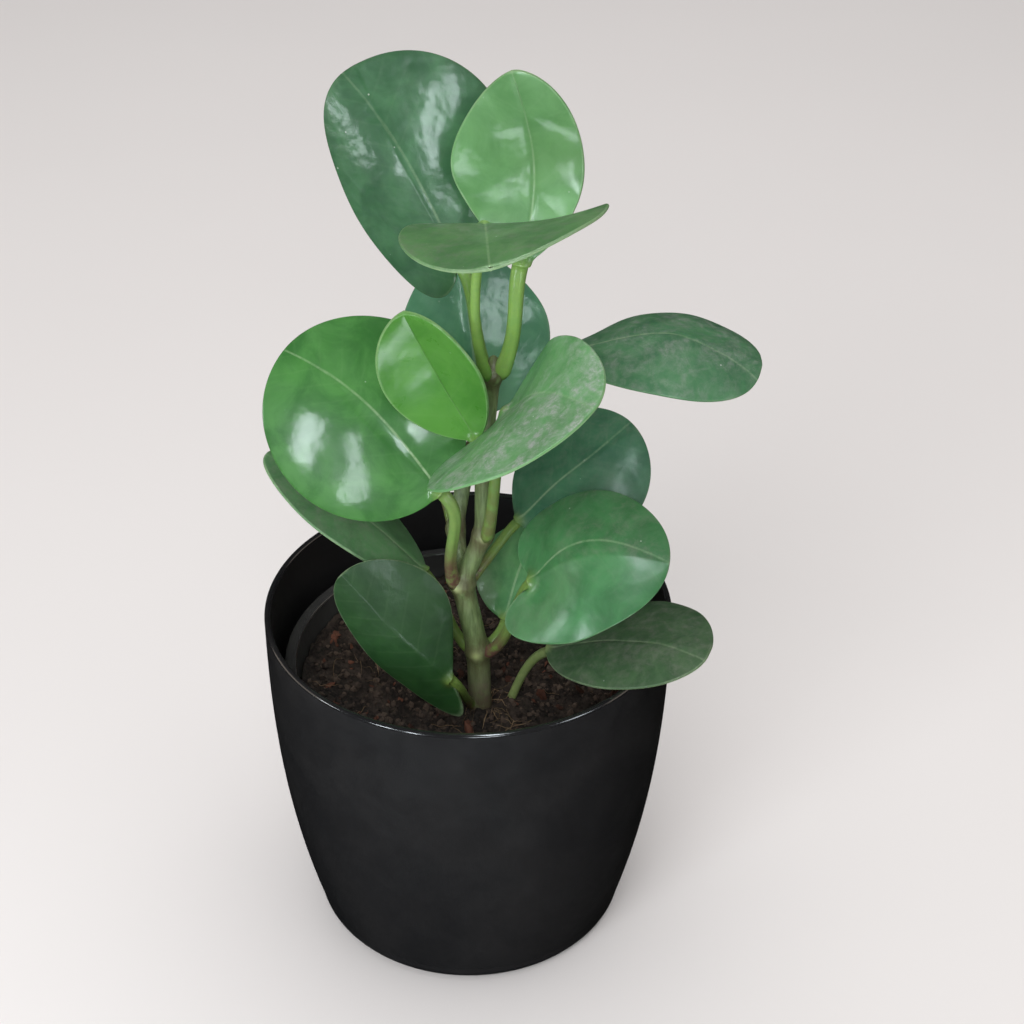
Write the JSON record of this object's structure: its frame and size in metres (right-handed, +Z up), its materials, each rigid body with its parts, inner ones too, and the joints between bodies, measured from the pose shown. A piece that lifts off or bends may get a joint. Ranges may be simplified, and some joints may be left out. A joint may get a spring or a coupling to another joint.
{
  "type": "potted peperomia plant",
  "caption": "Young bushy peperomia with round thick glossy leaves on short stalks, rooted in a thin nursery pot that stands inside a plain black cover pot.",
  "frame": {"origin": "middle of the flat underside of the cover pot, on the surface the pot stands on", "axes": "+Z up along the axis of both pots; +X to the right and -Y towards the viewer as the plant is pictured"},
  "size_m": [0.1546, 0.1518, 0.3131],
  "materials": {
    "cover_pot": "smooth satin black plastic",
    "nursery_pot": "thin thermoformed black plastic, slightly dusty",
    "soil": "damp crumbly potting mix of peat, bark and coir",
    "stem": "semi-succulent green stem, brownish at the joints",
    "leaf_old": "thick waxy dark green leaf, glossy above",
    "leaf_grown": "thick waxy mid green leaf, glossy above",
    "leaf_fresh": "young waxy yellow-green leaf, satin"
  },
  "bodies": {
    "root": {"cover_pot": "cover_pot", "nursery_pot": "nursery_pot", "soil": "soil", "stem": "stem", "leaf_crown_left": "leaf_old", "leaf_crown_right": "leaf_fresh", "leaf_crown_front": "leaf_grown", "leaf_back_shoot": "leaf_old", "leaf_broad_left": "leaf_grown", "leaf_young": "leaf_fresh", "leaf_front": "leaf_grown", "leaf_far_right": "leaf_old", "leaf_upper_right": "leaf_old", "leaf_round_right": "leaf_grown", "leaf_low_right": "leaf_old", "leaf_low_left": "leaf_old", "leaf_inner_left": "leaf_old", "leaf_inner_back": "leaf_old", "leaf_rear": "leaf_old"}
  },
  "joints": []
}
